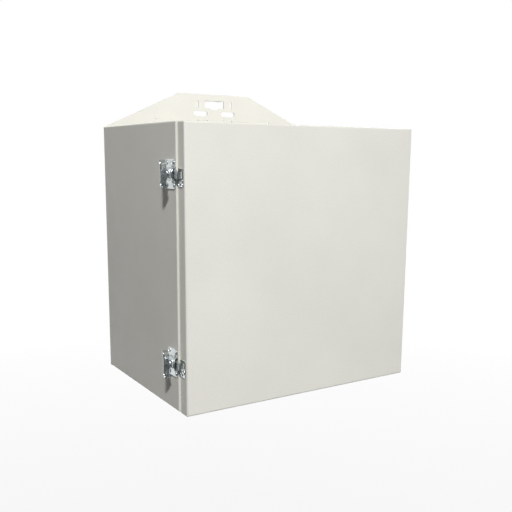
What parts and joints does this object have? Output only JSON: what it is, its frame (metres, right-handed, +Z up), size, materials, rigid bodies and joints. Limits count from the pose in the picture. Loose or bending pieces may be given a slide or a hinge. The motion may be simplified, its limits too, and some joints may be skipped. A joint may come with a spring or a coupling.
{
  "type": "battery enclosure",
  "caption": "Pole-mounted sheet-metal battery enclosure with a hinged overlapping door, wing latches and slotted trapezoid pole flanges.",
  "frame": {"origin": "centre of the mounting face, on the back of the mounting plate", "axes": "+X to the right seen from the door, +Y backwards towards the pole, +Z up"},
  "size_m": [0.5723, 0.401, 0.692],
  "materials": {
    "powder_coat": "satin",
    "galvanised_sheet": "spangled",
    "foam_gasket": "matte",
    "stainless": "brushed",
    "zinc_plate": "bright",
    "battery_case": "matte",
    "post_metal": "dull",
    "tinned_copper": "satin",
    "black_insulation": "satin",
    "red_insulation": "satin",
    "breaker_case": "satin",
    "toggle_plastic": "satin",
    "terminal_plastic": "matte",
    "brass": "satin",
    "black_nylon": "matte"
  },
  "bodies": {
    "cabinet": {"battery_left": "battery_case", "battery_posts": "post_metal", "battery_right": "battery_case", "battery_tray": "galvanised_sheet", "breaker": "breaker_case", "cabinet_shell": "powder_coat", "cable_lugs": "tinned_copper", "din_rail": "zinc_plate", "equipment_panel": "galvanised_sheet", "gland_bodies": "black_nylon", "gland_caps": "black_nylon", "gland_locknuts": "black_nylon", "gland_plate": "powder_coat", "gland_plate_screws": "zinc_plate", "ground_nut": "brass", "ground_stud": "brass", "hinge_body_leaf": "stainless", "hinge_body_rivets": "stainless", "hinge_pin": "stainless", "hold_down_bar": "galvanised_sheet", "hold_down_rods": "zinc_plate", "latch_base_lower": "zinc_plate", "latch_base_upper": "zinc_plate", "latch_rivets_lower": "zinc_plate", "latch_rivets_upper": "zinc_plate", "mounting_plate": "powder_coat", "negative_lead": "black_insulation", "panel_nuts": "zinc_plate", "panel_studs": "zinc_plate", "positive_lead": "red_insulation", "post_bolts": "zinc_plate", "rail_screws": "zinc_plate", "series_jumper": "black_insulation", "terminal_blocks": "terminal_plastic", "tray_bolts": "zinc_plate", "tray_nuts": "zinc_plate", "vent_plugs": "black_nylon", "wing_nuts": "zinc_plate"},
    "door": {"door_pan": "powder_coat", "door_gasket": "foam_gasket", "hinge_door_leaf": "stainless", "hinge_door_rivets": "stainless", "latch_keeper_upper": "zinc_plate", "latch_keeper_lower": "zinc_plate", "keeper_rivets_upper": "zinc_plate", "keeper_rivets_lower": "zinc_plate"},
    "toggle": {"breaker_toggle": "toggle_plastic"},
    "wing_upper": {"latch_wing_upper": "zinc_plate"},
    "link_upper": {"latch_link_upper": "zinc_plate"},
    "wing_lower": {"latch_wing_lower": "zinc_plate"},
    "link_lower": {"latch_link_lower": "zinc_plate"}
  },
  "joints": [
    {"name": "door_swing", "type": "hinge", "parent": "cabinet", "child": "door", "pos_m": [0.2736, -0.35575, 0], "axis": [0, 0, 1], "range_deg": [0, 165]},
    {"name": "breaker_switch", "type": "hinge", "parent": "cabinet", "child": "toggle", "pos_m": [0.09, -0.084, 0.15], "axis": [1, 0, 0], "range_deg": [0, 50]},
    {"name": "latch_upper_draw", "type": "slide", "parent": "cabinet", "child": "link_upper", "axis": [0, -1, 0], "range_m": [0, 0.006]},
    {"name": "latch_upper_turn", "type": "hinge", "parent": "cabinet", "child": "wing_upper", "pos_m": [-0.27, -0.341, 0.173], "axis": [-1, 0, 0], "range_deg": [0, 180]},
    {"name": "latch_lower_draw", "type": "slide", "parent": "cabinet", "child": "link_lower", "axis": [0, -1, 0], "range_m": [0, 0.006]},
    {"name": "latch_lower_turn", "type": "hinge", "parent": "cabinet", "child": "wing_lower", "pos_m": [-0.27, -0.341, -0.173], "axis": [-1, 0, 0], "range_deg": [0, 180]}
  ],
  "couplings": [
    {"joint": "latch_upper_turn", "follows": "latch_upper_draw", "rad_per_m": 523.59},
    {"joint": "latch_lower_turn", "follows": "latch_lower_draw", "rad_per_m": 523.59}
  ]
}
